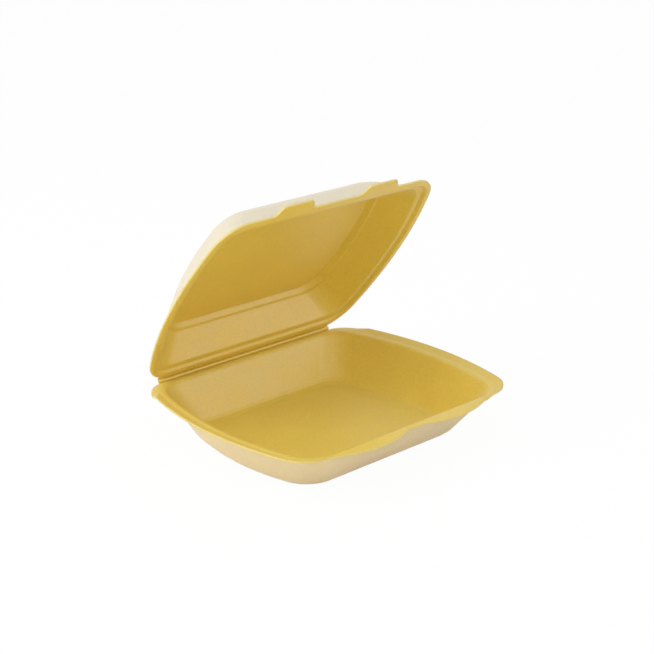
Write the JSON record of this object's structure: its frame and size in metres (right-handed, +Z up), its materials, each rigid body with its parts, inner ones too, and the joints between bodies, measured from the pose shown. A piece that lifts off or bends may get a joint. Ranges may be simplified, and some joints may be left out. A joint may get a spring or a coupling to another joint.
{
  "type": "foam clamshell container",
  "caption": "Shallow rectangular foam food box with bowed sides, a domed lid joined by a scored hinge strip and front lock tabs, shown part open.",
  "frame": {"origin": "centre of the tray's flat underside, on the plane it stands on", "axes": "+Z up, +Y towards the hinge at the back, -Y towards the lobed front edge, +X along the hinge"},
  "size_m": [0.25, 0.2112, 0.2021],
  "materials": {
    "tray_foam": "soft satin foam skin",
    "hinge_foam": "pressed foam, slightly glossy",
    "lid_foam": "soft satin foam skin"
  },
  "bodies": {
    "tray": {"tray": "tray_foam"},
    "hinge_strip": {"hinge_strip": "hinge_foam"},
    "lid": {"lid": "lid_foam"}
  },
  "joints": [
    {"name": "tray_crease", "type": "hinge", "parent": "tray", "child": "hinge_strip", "pos_m": [0, 0.0935, 0.0364], "axis": [-1, 0, 0], "range_deg": [-27.3, 62.7]},
    {"name": "lid_crease", "type": "hinge", "parent": "hinge_strip", "child": "lid", "pos_m": [0, 0.0957, 0.04067], "axis": [-1, 0, 0], "range_deg": [-27.3, 62.7]}
  ]
}
